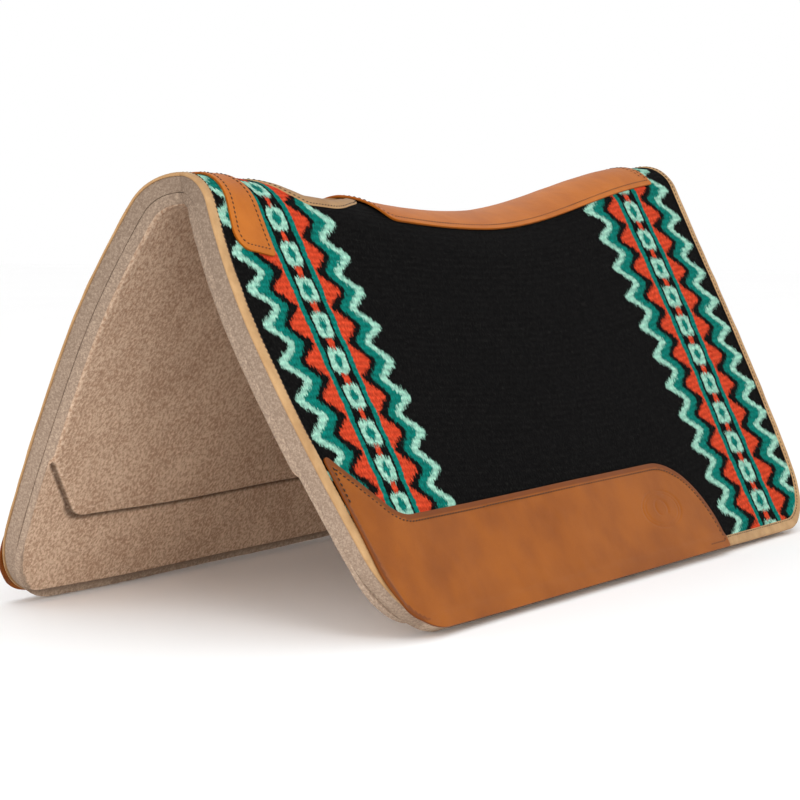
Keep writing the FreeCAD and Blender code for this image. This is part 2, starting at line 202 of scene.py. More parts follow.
def inset_ring(corners, inset=0.0, fixed=(), step=3.0):
    """Points along a polygon with rounded corners, its sides moved inwards by inset.

    Corners are (x, y, radius), counter-clockwise.  Side i starts at corner i, and the
    fixed sides stay where they are.  The number of points doesn't depend on inset.
    """
    at = np.array([c[:2] for c in corners], float)
    run = np.roll(at, -1, 0) - at
    length = np.hypot(run[:, 0], run[:, 1])
    along = run / length[:, None]
    inward = np.column_stack([-along[:, 1], along[:, 0]])
    shift = np.array([0.0 if i in fixed else inset for i in range(len(at))])
    turns, trims, arcs = [], [], []
    for i in range(len(at)):
        a, b = along[i - 1], along[i]
        turn = math.atan2(a[0] * b[1] - a[1] * b[0], a @ b)
        here = at[i] + shift[i] * inward[i]
        if abs(turn) > 1e-3:
            here = at[i] + np.linalg.solve(np.array([inward[i - 1], inward[i]]), [shift[i - 1], shift[i]])
        size = corners[i][2] if abs(turn) > 0.01 else 0
        now = max(size - math.copysign(inset, turn), 0.05) if size else 0.0
        trim = now * math.tan(abs(turn) / 2)
        centre = here - a * trim + math.copysign(now, turn) * inward[i - 1]
        count = max(int(abs(turn) * size / step * 1.3), 5) if size else 0
        angles = np.linspace(0, turn, count + 1)
        spoke = -math.copysign(now, turn) * inward[i - 1]
        c, s = np.cos(angles), np.sin(angles)
        arc = np.column_stack([c * spoke[0] - s * spoke[1], s * spoke[0] + c * spoke[1]]) + centre
        arcs.append(arc if size else here[None])
        turns.append(turn)
        trims.append(size * math.tan(abs(turn) / 2))
    ring = []
    for i, arc in enumerate(arcs):
        after = (i + 1) % len(arcs)
        count = max(int((length[i] - trims[i] - trims[after]) / step), 1)
        share = np.linspace(0, 1, count + 1)[1:-1, None]
        ring += [arc, arc[-1] * (1 - share) + arcs[after][0] * share]
    return np.vstack(ring)


def inside(points, ring):
    """Which points are inside a closed ring, counting its crossings."""
    found = np.zeros(len(points), bool)
    x, y = points.T
    for (x0, y0), (x1, y1) in zip(ring, np.roll(ring, -1, 0)):
        if y0 != y1:
            found ^= ((y0 > y) != (y1 > y)) & (x < (x1 - x0) * (y - y0) / (y1 - y0) + x0)
    return found


def distance_to(points, ring):
    """How far points are from a closed ring, negative outside."""
    best = np.full(len(points), 1e9)
    for a, b in zip(ring, np.roll(ring, -1, 0)):
        side = b - a
        t = clip01(((points - a) @ side) / max(side @ side, 1e-9))
        best = np.minimum(best, np.hypot(*(points - a - t[:, None] * side).T))
    return np.where(inside(points, ring), best, -best)


def gap_to(points, others):
    """How far each point is from the nearest of the others."""
    tree = KDTree(len(others))
    for i, p in enumerate(others):
        tree.insert((p[0], p[1], 0), i)
    tree.balance()
    return np.array([tree.find((p[0], p[1], 0))[2] for p in points])


def fill(ring, spacing, extra=None):
    """(points, triangles) over the inside of a ring; the ring's own points come first.

    extra points are kept as they are, and the points of the grid near them are left out.
    """
    low, high = ring.min(0), ring.max(0)
    across = np.arange(low[0] + spacing[0] / 2, high[0], spacing[0])
    along = np.arange(low[1] + spacing[1] / 2, high[1], spacing[1])
    grid = np.stack(np.meshgrid(across, along, indexing="ij"), -1)
    grid[1::2, :, 1] += spacing[1] / 2
    grid = grid.reshape(-1, 2)
    if extra is not None:
        extra = extra[inside(extra, ring)]
        extra = extra[gap_to(extra, ring) > 0.5]
        grid = np.vstack([extra, grid[gap_to(grid, extra) > 0.45 * min(spacing)]])
    grid = grid[inside(grid, ring)]
    keep = gap_to(grid, ring) > 0.55 * min(spacing)
    points = np.vstack([ring, grid[keep]])
    made = delaunay_2d_cdt([Vector(p) for p in points], [], [list(range(len(ring)))], 1, 1e-6, False)
    if len(made[0]) != len(points):
        raise RuntimeError("the outline crosses itself")
    faces = np.array(made[2])
    return points, faces[inside(points[faces].mean(1), ring)]


# ---------------------------------------------------------------- meshes

def new_piece(name, points, faces, notes, material, mirrored=False):
    """An object from points in metres, with notes (s, y, edge) kept per point for its material."""
    points = np.array(points, float)
    if mirrored:
        points = points * [-1, 1, 1]
        faces = [face[::-1] for face in faces]
    mesh = bpy.data.meshes.new(name)
    mesh.from_pydata(points.tolist(), [], [[int(i) for i in face] for face in faces])
    mesh.polygons.foreach_set("use_smooth", [True] * len(mesh.polygons))
    mesh.set_sharp_from_angle(angle=math.radians(48))
    kept = mesh.attributes.new("pad", "FLOAT_VECTOR", "POINT")
    kept.data.foreach_set("vector", np.asarray(notes, np.float32).ravel())
    mesh.materials.append(material)
    piece = bpy.data.objects.new(name, mesh)
    bpy.context.scene.collection.objects.link(piece)
    return piece


def rim_profile(steps=4):
    """(share of the rounding inset, share of it deep) round an edge, from a face to the side."""
    angles = np.linspace(0, math.pi / 2, steps + 1)[1:]
    return [(1 - math.sin(a), 1 - math.cos(a)) for a in angles]


def slab(corners, warp, top, bottom, rounding, spacing, fixed=(), step=3.0, extra=None, coarse=False,
         lean=0.0, edge_note=None, wall_note=1.0):
    """A closed sheet between two depths with rounded edges: (points, faces, notes).

    top and bottom are functions of (s, y), and rounding is the radius of the top and the
    bottom edge.  A coarse top has wide spacing, for a sheet seen from below, and else
    the bottom has.  The bottom edge is lean further in than the top.  The note called
    edge is 0 on a face, wall_note on the sides, or what edge_note(s, y) says: up to 1
    for a cut edge and down to -1 for painted shadow below a raised step.
    """
    over, under = rounding
    fine, wide = (spacing, extra), ((14.0, 14.0), None)
    upper, upper_faces = fill(inset_ring(corners, over, fixed, step), *(wide if coarse else fine))
    lower, lower_faces = fill(inset_ring(corners, under + lean, fixed, step), *(fine if coarse else wide))
    loops = [(over * inward, top, over * down, down * wall_note) for inward, down in rim_profile()]
    loops += [(lean + under * inward, bottom, -under * down, down * wall_note)
              for inward, down in reversed(rim_profile())]
    at = warp(upper)
    places, depths, edges = [at], [top(*at.T)], [np.zeros(len(upper))]
    for inset, face, beyond, down in loops:
        at = warp(inset_ring(corners, inset, fixed, step))
        places.append(at)
        depths.append(face(*at.T) + beyond)
        edges.append(np.full(len(at), down))
    count = len(at)
    at = warp(lower)
    places.append(at)
    depths.append(bottom(*at.T))
    edges.append(np.zeros(len(lower)))
    starts = [0] + list(len(upper) + count * np.arange(len(loops) + 1))
    faces = [list(face) for face in upper_faces]
    for a, b in zip(starts, starts[1:]):
        for i in range(count):
            j = (i + 1) % count
            faces.append([a + j, a + i, b + i, b + j])
    faces += [[starts[-1] + i for i in face[::-1]] for face in lower_faces.tolist()]
    sy, depth, edge = np.vstack(places), np.concatenate(depths), np.concatenate(edges)
    if edge_note:
        note = edge_note(*sy.T)
        edge = np.where(note < 0, note, np.maximum(edge, note))
    notes = np.column_stack([np.abs(sy[:, 0]), sy[:, 1], edge])
    return place(sy[:, 0], sy[:, 1], depth), faces, notes


def sweep(rings, depths):
    """A section carried along a path: rings are (s, y) paths, one per point of the section."""
    rows = [place(ring[:, 0], ring[:, 1], depth) for ring, depth in zip(rings, depths)]
    count, section = len(rows[0]), len(rows)
    points = np.stack(rows, 1).reshape(-1, 3)
    notes = np.stack([np.column_stack([np.abs(r[:, 0]), r[:, 1], np.full(count, k / section)])
                      for k, r in enumerate(rings)], 1).reshape(-1, 3)
    faces = []
    for i in range(count - 1):
        a, b = i * section, (i + 1) * section
        for k in range(section):
            after = (k + 1) % section
            faces.append([a + k, a + after, b + after, b + k])
    faces.append(list(range(section))[::-1])
    faces.append([(count - 1) * section + k for k in range(section)])
    return points, faces, notes


def walk(path, pitch):
    """(points, directions) every pitch along an open (s, y) path."""
    steps = np.hypot(*np.diff(path, axis=0).T)
    reach = np.concatenate([[0], np.cumsum(steps)])
    count = int(reach[-1] / pitch)
    at = pitch * (0.5 + np.arange(count))
    points = np.column_stack([np.interp(at, reach, path[:, k]) for k in (0, 1)])
    ahead = np.column_stack([np.interp(at + 0.5, reach, path[:, k]) for k in (0, 1)])
    back = np.column_stack([np.interp(at - 0.5, reach, path[:, k]) for k in (0, 1)])
    along = ahead - back
    return points, along / np.hypot(*along.T)[:, None]


STITCH_SIDES, STITCH_RINGS = 6, 5       # points round a stitch, and rings of them along it
STITCH_LEAN = 0.16                      # how far a stitch leans across its seam, per mm along it


def stitch_shape(length, thickness):
    """(along, across, depth) of one stitch's points, ring by ring; its ends are thin and sunk."""
    angles = 2 * math.pi * np.arange(STITCH_SIDES) / STITCH_SIDES
    shape = []
    for t in np.linspace(-1, 1, STITCH_RINGS):
        radius = thickness / 2 * math.sqrt(max(1 - 0.92 * t * t, 0.02))
        sag = 0.45 * thickness * t * t
        for angle in angles:
            shape.append((t * length / 2, radius * math.cos(angle), sag - radius * math.sin(angle)))
    return np.array(shape)


def stitch_faces(first):
    """The faces of the stitch whose points start at first."""
    faces = []
    for ring in range(STITCH_RINGS - 1):
        a = first + ring * STITCH_SIDES
        b = a + STITCH_SIDES
        for i in range(STITCH_SIDES):
            j = (i + 1) % STITCH_SIDES
            faces.append([a + i, a + j, b + j, b + i])
    last = first + (STITCH_RINGS - 1) * STITCH_SIDES
    faces.append([first + i for i in range(STITCH_SIDES)][::-1])
    faces.append([last + i for i in range(STITCH_SIDES)])
    return faces


def stitches(paths, sizes, depth):
    """Separate stitches along (s, y) paths: (points, faces, notes).

    sizes are the pitch, the length of a stitch and its thickness.
    """
    pitch, length, thickness = sizes
    shape = stitch_shape(length, thickness)
    sideways = shape[:, 1:2] + STITCH_LEAN * shape[:, 0:1]
    points, notes, count = [], [], 0
    for path in paths:
        places, along = walk(path, pitch)
        across = np.column_stack([-along[:, 1], along[:, 0]])
        sy = places[:, None] + along[:, None] * shape[None, :, 0:1] + across[:, None] * sideways[None]
        sy = sy.reshape(-1, 2)
        depths = depth(*sy.T) + np.tile(shape[:, 2], len(places))
        points.append(place(sy[:, 0], sy[:, 1], depths))
        notes.append(np.column_stack([np.abs(sy[:, 0]), sy[:, 1], np.zeros(len(sy))]))
        count += len(places)
    faces = [face for k in range(count) for face in stitch_faces(k * len(shape))]
    return np.vstack(points), faces, np.vstack(notes)


# ---------------------------------------------------------------- material nodes

class Field:
    """A number worked out by a material's nodes.  Arithmetic on it adds Math nodes."""

    def __init__(self, tree, socket):
        self.tree, self.socket = tree, socket

    def math(self, operation, *others):
        node = self.tree.nodes.new("ShaderNodeMath")
        node.operation = operation
        for slot, value in enumerate((self, *others)):
            if isinstance(value, Field):
                self.tree.links.new(value.socket, node.inputs[slot])
            else:
                node.inputs[slot].default_value = value
        return Field(self.tree, node.outputs[0])

    def __add__(self, other):
        return self.math("ADD", other)

    def __sub__(self, other):
        return self.math("SUBTRACT", other)

    def __mul__(self, other):
        return self.math("MULTIPLY", other)

    def __truediv__(self, other):
        return self.math("DIVIDE", other)

    def within(self, low, high):
        """0 below low and 1 above high, with a smooth change between; high may be the smaller."""
        node = self.tree.nodes.new("ShaderNodeMapRange")
        node.interpolation_type = "SMOOTHSTEP"
        self.tree.links.new(self.socket, node.inputs["Value"])
        if low < high:
            limits = (low, high, 0.0, 1.0)
        else:
            limits = (high, low, 1.0, 0.0)
        for name, value in zip(("From Min", "From Max", "To Min", "To Max"), limits):
            node.inputs[name].default_value = value
        return Field(self.tree, node.outputs[0])


def srgb(red, green, blue):
    """A colour given as 0 to 255 display values, for a shader."""
    values = [c / 255 for c in (red, green, blue)]
    return tuple(c / 12.92 if c <= 0.04045 else ((c + 0.055) / 1.055) ** 2.4 for c in values) + (1.0,)


class Finish:
    """A material under construction, with the helpers that all of the pad's materials share."""

    def __init__(self, name, roughness):
        self.material = bpy.data.materials.new(name)
        self.material.use_nodes = True
        self.tree = self.material.node_tree
        self.shader = self.tree.nodes["Principled BSDF"]
        self.shader.inputs["Roughness"].default_value = roughness
        spot = self.tree.nodes.new("ShaderNodeAttribute")
        spot.attribute_name = "pad"
        parts = self.tree.nodes.new("ShaderNodeSeparateXYZ")
        self.tree.links.new(spot.outputs["Vector"], parts.inputs[0])
        self.s, self.y, self.edge = (Field(self.tree, parts.outputs[k]) for k in range(3))
        self.position = self.tree.nodes.new("ShaderNodeTexCoord").outputs["Object"]

    def noise_at(self, where, scale, detail):
        node = self.tree.nodes.new("ShaderNodeTexNoise")
        node.inputs["Scale"].default_value = scale
        node.inputs["Detail"].default_value = detail
        self.tree.links.new(where, node.inputs["Vector"])
        return Field(self.tree, node.outputs["Fac"])

    def noise(self, size, detail=2.0):
        """Noise with bumps about size millimetres across, from about 0 to 1."""
        return self.noise_at(self.position, 1000.0 / size, detail)

    def streaks(self, down, along, detail=1.0):
        """Noise with bumps that many millimetres long down the slope and along the ridge."""
        node = self.tree.nodes.new("ShaderNodeCombineXYZ")
        for slot, value in enumerate((self.s / down, self.y / along)):
            self.tree.links.new(value.socket, node.inputs[slot])
        return self.noise_at(node.outputs[0], 1.0, detail)

    def mix(self, share, low, high):
        """A colour from low to high; share is a number or a Field."""
        node = self.tree.nodes.new("ShaderNodeMix")
        node.data_type = "RGBA"
        if isinstance(share, Field):
            self.tree.links.new(share.socket, node.inputs["Factor"])
        else:
            node.inputs["Factor"].default_value = share
        for name, value in (("A", low), ("B", high)):
            socket = next(i for i in node.inputs if i.name == name and i.type == "RGBA")
            if isinstance(value, bpy.types.NodeSocket):
                self.tree.links.new(value, socket)
            else:
                socket.default_value = value
        return next(o for o in node.outputs if o.type == "RGBA")

    def shade(self, colour, strength):
        """colour times a number."""
        node = self.tree.nodes.new("ShaderNodeVectorMath")
        node.operation = "SCALE"
        self.tree.links.new(colour, node.inputs[0])
        self.tree.links.new(strength.socket, node.inputs["Scale"])
        return node.outputs[0]

    def bump(self, height, distance):
        """Adds relief to the shader: distance is its height in millimetres."""
        node = self.tree.nodes.new("ShaderNodeBump")
        node.inputs["Strength"].default_value = 1.0
        node.inputs["Distance"].default_value = distance * MM
        self.tree.links.new(height.socket, node.inputs["Height"])
        self.tree.links.new(node.outputs[0], self.shader.inputs["Normal"])

    def paint(self, colour):
        self.tree.links.new(colour, self.shader.inputs["Base Color"])
        return self.material


BLACK, BLACK_LIGHT = srgb(2, 2, 2), srgb(34, 33, 31)
MINT, MINT_LIGHT = srgb(104, 172, 150), srgb(182, 224, 204)
TEAL, TEAL_LIGHT = srgb(0, 78, 70), srgb(6, 132, 118)
RED, RED_LIGHT = srgb(168, 40, 18), srgb(226, 82, 48)
STRAY = srgb(92, 90, 82)                # loose fibres on the wool
# painted shadow: the dark brown laid on the felt below the raised step, where its shade falls
STEP_SHADOW_PAINT = srgb(58, 40, 28)

STRIPE_FRONT, STRIPE_REAR = -309.5, 288.0       # y of the stripes' middles
REAR_BOW = 9.0                          # the rear stripe bends back by this much towards the ridge
STRIPE_STRETCH = 1.21                   # the rear stripe is this much wider
ROW_SKEW = 0.15                         # how far the rear rows run off square
MOTIF = 30.6                            # one motif, down the slope
FRONT_PHASE, REAR_PHASE = 26.9, 29.0
STRIPE_BANDS = [                        # half width in mm, how much its points add to it, colour
    (56.0, 23.0, "mint"), (46.5, 20.0, "teal"), (35.0, 16.0, "black"),
    (22.0, 21.0, "red"), (20.3, 0.0, "teal"), (13.8, 0.0, "black"),
]
BLOCK_WIDTH, BLOCK_LENGTH, BLOCK_CORNER = 11.0, 10.4, 14.0      # the mint blocks' half sizes
DIAMOND = 7.5                           # the teal diamond in a block, from its middle
DOT_WIDTH, DOT_LENGTH = 3.6, 4.0        # the red dot between two blocks, half sizes


def wool_finish():
    """The woven stripes, worked out from s and y, with ragged yarn edges."""
    f = Finish("woven wool", 0.95)
    yarn = f.streaks(7.0, 0.85, 2.0)
    s = f.s + (yarn - 0.5) * 15.0 + (f.streaks(11.0, 2.6) - 0.5) * 6.0
    y = f.y + (f.streaks(1.6, 2.2) - 0.5) * 3.6
    rear = f.y.within(-1, 1)
    front_reach = (y - STRIPE_FRONT).math("ABSOLUTE")
    bow = f.s.within(370, 150) * REAR_BOW
    rear_reach = (y - bow - STRIPE_REAR).math("ABSOLUTE") / STRIPE_STRETCH
    reach = front_reach.math("MINIMUM", rear_reach) + (f.streaks(16.0, 30.0) - 0.5) * 5.0
    phase = (s - rear * (REAR_PHASE - FRONT_PHASE) - rear * ((y - STRIPE_REAR) * ROW_SKEW)
             - FRONT_PHASE) / MOTIF
    turn = phase.math("FRACT")
    ramp = (turn * 2.0 - 1.0).math("ABSOLUTE")
    wave = (turn * (2 * math.pi)).math("COSINE") * 0.5 + 0.5
    tip = ramp * 0.55 + wave * 0.45
    off_block = (turn - 0.5).math("ABSOLUTE") * -MOTIF + MOTIF / 2       # mm from a block's middle
    off_gap = (turn - 0.5).math("ABSOLUTE") * MOTIF                      # mm from a gap's middle

    def band(half_width, growth=0.0):
        return (tip * growth + half_width - reach).within(-0.35, 0.35)

    def below(value, limit, blur=0.4):
        return value.within(limit + blur, limit - blur)

    grain = f.streaks(5.0, 0.6, 3.0)
    fleck = f.noise(2.2, 3.0)

    def dyed(dark, light, low=0.3, high=0.68):
        return f.mix((grain * 0.65 + fleck * 0.35).within(low, high), dark, light)

    dyes = {"black": dyed(BLACK, BLACK_LIGHT, 0.46, 0.74), "mint": dyed(MINT, MINT_LIGHT),
            "teal": dyed(TEAL, TEAL_LIGHT), "red": dyed(RED, RED_LIGHT)}
    colour = dyes["black"]
    for half_width, growth, dye in STRIPE_BANDS:
        colour = f.mix(band(half_width, growth), colour, dyes[dye])
    corners = below(off_block + reach * 0.55, BLOCK_CORNER)
    block = band(BLOCK_WIDTH) * below(off_block, BLOCK_LENGTH) * corners
    colour = f.mix(block, colour, dyes["mint"])
    colour = f.mix(below(off_block + reach * 1.2, DIAMOND, 0.7), colour, dyes["teal"])
    colour = f.mix(band(DOT_WIDTH) * below(off_gap, DOT_LENGTH), colour, dyes["red"])
    ribs = (f.s * (2 * math.pi / RIB)).math("SINE") * 0.5 + 0.5
    stray = f.streaks(1.3, 0.5).within(0.70, 0.80)
    colour = f.mix(stray * 0.4, colour, STRAY)
    height = grain * 0.7 + ribs * 0.22 + fleck * 0.4
    f.bump(height, 1.8)
    f.shader.inputs["Specular IOR Level"].default_value = 0.06
    # the ribs also scale the colour, painted shade in the grooves between rows of the weave; the grain is
    # the yarn's own tone
    return f.paint(f.shade(colour, grain * 0.7 + ribs * 0.25 + 0.5))


def felt_finish(name, dark, middle, light, cut):
    """Pressed wool felt: fine mottling and short fibres; cut is the colour of its cut edges."""
    f = Finish(name, 0.96)
    clouds = f.noise(40, 2.0)
    tufts = f.noise(2.8, 4.0)
    fibres = f.noise(1.3, 3.0)
    hairs = f.noise(2.2, 3.0)
    colour = f.mix((tufts * 0.6 + fibres * 0.25 + clouds * 0.15).within(0.38, 0.62), dark, light)
    colour = f.mix(0.35, colour, middle)
    colour = f.mix(hairs.within(0.62, 0.74) * 0.35, colour, light)
    cut_colour = f.mix((fibres * 0.5 + hairs * 0.5).within(0.36, 0.8) * 0.5, cut, light)
    colour = f.mix(f.edge.within(0.1, 0.8), colour, cut_colour)
    # painted shadow below the raised step, where the edge note is negative
    colour = f.mix(f.edge.within(-0.1, -0.9) * 0.75, colour, STEP_SHADOW_PAINT)
    f.bump(fibres * 0.5 + tufts * 0.6, 0.45)
    f.shader.inputs["Specular IOR Level"].default_value = 0.05
    # painted shade: the felt's colour is scaled darker towards the ridge line, for the shade inside the
    # pad's arch, and lighter towards the lower edge
    return f.paint(f.shade(colour, f.s.within(0, 340) * 0.3 + 0.74))


def leather_finish(name, dark, base, light, roughness, grain_size=1.1, mottling=60.0):
    """Smooth leather: slow colour clouds, fine grain, a darker cut edge."""
    f = Finish(name, roughness)
    clouds = f.noise(mottling, 2.0)
    soft = f.noise(mottling / 3.2, 3.0)
    grain = f.noise(grain_size, 3.0)
    colour = f.mix((clouds * 0.6 + soft * 0.4).within(0.3, 0.7), dark, light)
    colour = f.mix(0.6, colour, base)
    colour = f.mix(grain.within(0.52, 0.75) * 0.18, colour, dark)
    colour = f.mix(f.edge.within(0.25, 0.8) * 0.8, colour, dark)
    f.bump(grain * 0.12 + soft * 0.3, 1.0)
    f.shader.inputs["Specular IOR Level"].default_value = 0.14
    return f.paint(colour)


def foam_finish():
    f = Finish("insert foam", 0.85)
    cells = f.noise(2.0, 2.0)
    f.bump(cells, 0.5)
    return f.paint(f.mix(cells, srgb(70, 72, 76), srgb(112, 114, 118)))


def thread_finish():
    f = Finish("brown thread", 0.7)
    twist = f.noise(0.8, 2.0)
    f.bump(twist, 0.3)
    return f.paint(f.mix(twist, srgb(20, 9, 4), srgb(52, 28, 14)))


WOOL = wool_finish()
BROWN_FELT = felt_finish("brown felt", srgb(152, 120, 96), srgb(194, 160, 134), srgb(228, 202, 176),
                         srgb(138, 118, 102))
GREY_FELT = felt_finish("grey felt", srgb(140, 118, 100), srgb(176, 152, 132), srgb(206, 184, 162),
                        srgb(134, 114, 98))
TAN = leather_finish("tan leather", srgb(144, 74, 12), srgb(180, 99, 22), srgb(192, 112, 32), 0.5)
WEAR = leather_finish("wear leather", srgb(98, 46, 6), srgb(148, 79, 12), srgb(162, 91, 20), 0.5,
                      mottling=85.0)
GOLD = leather_finish("binding leather", srgb(138, 102, 66), srgb(180, 142, 98), srgb(200, 164, 120), 0.55,
                      mottling=24.0)
FOAM = foam_finish()
THREAD = thread_finish()


# ---------------------------------------------------------------- pieces of one side

def half_corners(edge=0.0, lower=0.0, front=FRONT_CORNER, rear=REAR_CORNER):
    """One half of the pad on the straightened pattern: ridge side first, counter-clockwise."""
    end = HALF_LENGTH - edge
    return [(0, -end, 0), (DROP - lower, -end, front), (DROP - lower, end, rear), (0, end, 0)] + SLOT_NOTCH


def ridge_sides(corners):
    """The sides that lie on the ridge line, which an inset leaves where they are."""
    count = len(corners)
    return [i for i in range(count) if corners[i][0] == 0 and corners[(i + 1) % count][0] == 0]


def level(depth):
    """A flat face at that depth."""
    return lambda s, y: np.full(len(s), float(depth))


def nap(size, height, base):
    """A face at that depth with lumps, for wool or felt."""
    def depth(s, y):
        flat = np.column_stack([s, y, np.full(len(s), 3.0)])
        return base + height * (0.7 * lumps(flat, size) + 0.4 * lumps(flat + 91, size * 0.4))
    return depth


def on_pattern(s, y):
    """Where a point is on the straightened pattern."""
    t = np.abs(s) / (EDGE_SLANT - ARC_SAVING * ridge_radius(y))
    front, rear = front_edge(t), rear_edge(t)
    return np.column_stack([t * DROP, ((y - front) / (rear - front) * 2 - 1) * HALF_LENGTH])


PAD_RING = inset_ring([(-60, -HALF_LENGTH, 0), (DROP, -HALF_LENGTH, FRONT_CORNER),
                       (DROP, HALF_LENGTH, REAR_CORNER), (-60, HALF_LENGTH, 0)], step=8.0)


def gap_to_edge(s, y):
    """Roughly how far a point is from the pad's front, lower or rear edge."""
    return distance_to(on_pattern(s, y), PAD_RING)


def pinch(s, y):
    """How much the sewn binding presses the blanket's edge together."""
    return PINCH * smooth(BINDING_WIDTH - gap_to_edge(s, y), 0, 9)


def slant_gap(s, y, ring):
    """How far points are inside a ring that is drawn as (slant, y)."""
    return distance_to(np.column_stack([slant(s, y), y]), ring)


def blanket_half():
    corners = half_corners(1.5, 1.5)

    def face(s, y):
        return nap(16, 0.30, 0.0)(s, y) - 0.16 * np.sin(2 * math.pi * s / RIB)

    def back(s, y):
        return BLANKET - pinch(s, y)
    return slab(corners, shaped, face, back, (1.0, 0.6), (1.8, 4.0), ridge_sides(corners))


def cut_ends_lower_edge_painted_lit(s, y):
    """1 at the front and rear ends of the felt and 0 along its lower edge, which keeps the lighter face
    colour there as painted light on an edge that faces down into shade.
    """
    return 1 - smooth(slant(s, y), EDGE_SLANT - 12, EDGE_SLANT - 3)


def core_half():
    corners = half_corners(0.6, 0.6)

    def over(s, y):
        return BLANKET + 0.1 - pinch(s, y)
    # wall_note 0 leaves the core's lower edge in the lighter face colour, painted light on an edge that
    # faces down
    return slab(corners, shaped, over, nap(9, 0.3, CORE_BOTTOM - 0.1), (1.2, 0.6), (6.0, 6.0),
                ridge_sides(corners), coarse=True, lean=0.2, edge_note=cut_ends_lower_edge_painted_lit, wall_note=0.0)


RAISED_SLANT, RAISED_CHAMFER = 355.5, 62.5      # the raised area's foot, and its cut corners
RAISED_BEND = RAISED_SLANT - RAISED_CHAMFER     # where the cut corners begin
RAISED_END = HALF_LENGTH - 9.0
PAST_END = 700.0                                # beyond the pad's ends
RAISED = [(-60, -PAST_END, 0), (RAISED_BEND, -PAST_END, 0), (RAISED_BEND, -RAISED_END, 8),
          (RAISED_SLANT, RAISED_CHAMFER - RAISED_END, 30), (RAISED_SLANT, RAISED_END - RAISED_CHAMFER, 30),
          (RAISED_BEND, RAISED_END, 8), (RAISED_BEND, PAST_END, 0), (-60, PAST_END, 0)]
RAISED_RING = inset_ring(RAISED, step=8.0)


def bullnose(gap, radius):
    """A rounded edge: 0 at the foot and 1 from radius inwards."""
    share = 1 - clip01(gap / radius)
    return np.sqrt(1 - share * share)


def raised(s, y):
    """1 over the insert and 0 on the low rim round it."""
    ends = np.maximum(gap_to_edge(s, y) - 2.0, 0)
    return bullnose(slant_gap(s, y, RAISED_RING), 4.0) * bullnose(ends, 6.0)


def step_points():
    """Extra points on both sides of the raised area's foot, to keep it crisp."""
    rings = [inset_ring(RAISED, inset, step=3.0) for inset in (-7.0, -4.2, -2.0, 0.0, 0.6, 1.4, 2.6, 4.2)]
    on_slant = np.vstack([ring[(abs(ring[:, 1]) < 420) & (ring[:, 0] > 150)] for ring in rings])
    return on_pattern(*from_slant(on_slant).T)


def liner_half():
    corners = half_corners(1.6, 12.0, 40.0, 36.0)

    def under(s, y):
        return nap(8, 0.3, CORE_BOTTOM + LINER)(s, y) + INSERT * raised(s, y)

    def over(s, y):
        hollow = smooth(slant_gap(s, y, RAISED_RING), 7, 12) * smooth(gap_to_edge(s, y), 14, 24)
        return CORE_BOTTOM + 0.1 + INSERT * hollow

    def edge(s, y):
        inward = slant_gap(s, y, RAISED_RING)
        wide = 2.4 + 2.6 * smooth(slant(s, y), 340, 352)
        # painted shadow on the low rim below the raised step, wider towards the lower edge where the lip
        # hides the step's foot
        step_shadow = np.exp(-(inward / np.where(inward < 0, wide, 1.6)) ** 2) * smooth(gap_to_edge(s, y), 4, 8)
        cut = 1 - smooth(gap_to_edge(s, y), 3.0, 4.5)
        return np.where(step_shadow > 0.15, -step_shadow, cut)
    return slab(corners, shaped, over, under, (0.5, 1.6), (2.5, 2.5), ridge_sides(corners), coarse=True,
                lean=0.8, extra=step_points(), edge_note=edge)


INSERT_GAP = 26.0                       # from the pad's ends to the insert's
INSERT_DROP, INSERT_CORNER = 290.0, 40.0        # its lower edge on the straightened pattern


def insert_half():
    corners = half_corners(INSERT_GAP)
    end = HALF_LENGTH - INSERT_GAP
    corners[1] = (INSERT_DROP, -end, INSERT_CORNER)
    corners[2] = (INSERT_DROP, end, INSERT_CORNER)
    return slab(corners, shaped, level(CORE_BOTTOM + 0.3), level(CORE_BOTTOM + INSERT - 0.3), (1.2, 1.2),
                (16.0, 16.0), ridge_sides(corners))


# The binding's section as (inset from the edge, depth): over the blanket, round its edge, and back.
BINDING_SECTION = [
    (BINDING_WIDTH, 0.05), (BINDING_WIDTH - 0.3, -0.55), (BINDING_WIDTH - 1, -0.9), (7.0, -1.1),
    (4.5, -1.1), (2.2, -1.0), (0.6, -0.5), (-0.3, 0.3), (-0.5, 1.0), (-0.3, 1.7), (0.6, 2.0),
    (2.6, 1.95), (2.5, 1.5), (1.4, 1.3), (1.2, 0.8), (2.4, 0.1), (6, 0.1),
]
BINDING_STEP = 1.6                      # between two sections, along the edge

FINE_STITCH = (4.2, 3.0, 0.9)           # pitch, length and thickness
SPINE_STITCH = (4.4, 3.1, 0.9)
WEAR_STITCH = (4.4, 3.1, 1.15)


def trim_of(corners, section, first, last, step):
    """(rings, depths) of the section's points from one corner of an outline to another."""
    fixed = ridge_sides(corners)
    outline = inset_ring(corners, 0, fixed, step)
    start, end = (int(np.argmin(np.hypot(*(outline - corners[k][:2]).T))) for k in (first, last))
    rings = [inset_ring(corners, inset, fixed, step)[start:end + 1] for inset, _ in section]
    return rings, [depth for _, depth in section]


def edge_binding_half():
    """The band folded round the blanket's edge, puckered by its stitches."""
    rings, depths = trim_of(half_corners(), BINDING_SECTION, 0, 3, BINDING_STEP)
    along = np.arange(len(rings[0])) * BINDING_STEP
    pucker = 0.16 * np.sin(2 * math.pi * along / FINE_STITCH[0])
    ripple = 0.25 * lumps(np.column_stack([along, along * 0, along * 0]), 14)
    for k in range(1, 9):
        depths[k] = depths[k] + (ripple + pucker * (1 if k < 4 else 0.3))
    return sweep([shaped(ring) for ring in rings], depths)


def outline_path(corners, inset, first, last, step=1.5):
    """The part of an inset outline between two of its corners."""
    rings, _ = trim_of(corners, [(inset, 0)], first, last, step)
    return rings[0]


# ---------------------------------------------------------------- leathers

